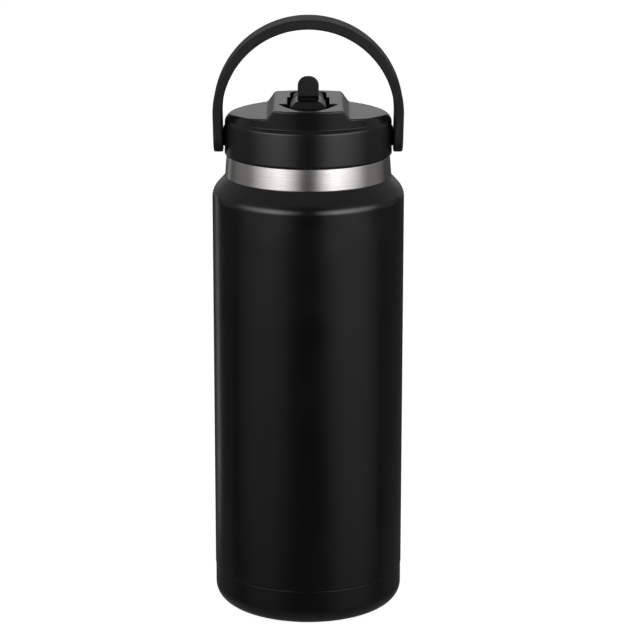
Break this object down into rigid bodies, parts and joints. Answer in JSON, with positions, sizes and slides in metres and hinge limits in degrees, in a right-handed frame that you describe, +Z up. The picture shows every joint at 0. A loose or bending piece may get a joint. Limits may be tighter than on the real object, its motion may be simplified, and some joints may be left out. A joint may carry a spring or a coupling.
{
  "type": "growler",
  "caption": "Insulated steel growler with a screw-on straw lid, a flip-up spout with a finger tab, and a swinging bail handle.",
  "frame": {"origin": "centre of the circle that the base stands on", "axes": "+Z up along the bottle, +Y to the back where the mouthpiece lies, +X to the right seen from the front"},
  "size_m": [0.095, 0.095, 0.2987],
  "materials": {
    "powder_coat": "fine satin black powder coat",
    "steel": "bare stainless steel, turned to a fine satin",
    "braze": "solidified sealing alloy",
    "getter_metal": "dull sintered metal",
    "lid_plastic": "black moulded plastic with a satin surface",
    "bail_polymer": "tough black polymer with a fine matt texture",
    "soft_black": "soft matt black silicone",
    "silicone": "translucent pale silicone",
    "foam": "off-white closed-cell foam",
    "clear_plastic": "smoky clear plastic"
  },
  "bodies": {
    "bottle": {"outer_shell": "powder_coat", "inner_flask": "steel", "base_cup": "powder_coat", "base_plate": "powder_coat", "vacuum_plug": "braze", "getter": "getter_metal"},
    "lid_lift": {"lid_gasket": "silicone"},
    "lid": {"lid_cap": "lid_plastic", "spout_tub": "lid_plastic", "lid_stem": "lid_plastic", "stem_insulation": "foam", "port_seal": "silicone", "straw_adapter": "clear_plastic", "adapter_seal": "silicone", "straw": "clear_plastic", "vent_valve": "silicone", "pivot_bushing_right": "lid_plastic", "pivot_bushing_left": "lid_plastic", "pivot_pin_right": "steel", "pivot_pin_left": "steel", "pivot_clip_right": "steel", "pivot_clip_left": "steel"},
    "spout": {"spout_body": "lid_plastic", "thumb_tab": "soft_black", "mouthpiece": "soft_black", "spout_axle_right": "steel", "spout_axle_left": "steel"},
    "bail": {"bail_strap": "bail_polymer", "pivot_cap_right": "bail_polymer", "pivot_cap_left": "bail_polymer"}
  },
  "joints": [
    {"name": "lid_rise", "type": "slide", "parent": "bottle", "child": "lid_lift", "axis": [0, 0, 1], "range_m": [0, 0.00701]},
    {"name": "lid_twist", "type": "hinge", "parent": "lid_lift", "child": "lid", "pos_m": [0, 0, 0.2232], "axis": [0, 0, 1], "range_deg": [0, 420]},
    {"name": "spout_flip", "type": "hinge", "parent": "lid", "child": "spout", "pos_m": [0, -0.0045, 0.2515], "axis": [1, 0, 0], "range_deg": [0, 90]},
    {"name": "bail_swing", "type": "hinge", "parent": "lid", "child": "bail", "pos_m": [0, 0, 0.2403], "axis": [1, 0, 0], "range_deg": [-108, 108]}
  ],
  "couplings": [
    {"joint": "lid_rise", "follows": "lid_twist", "m_per_rad": 0.00095493}
  ]
}
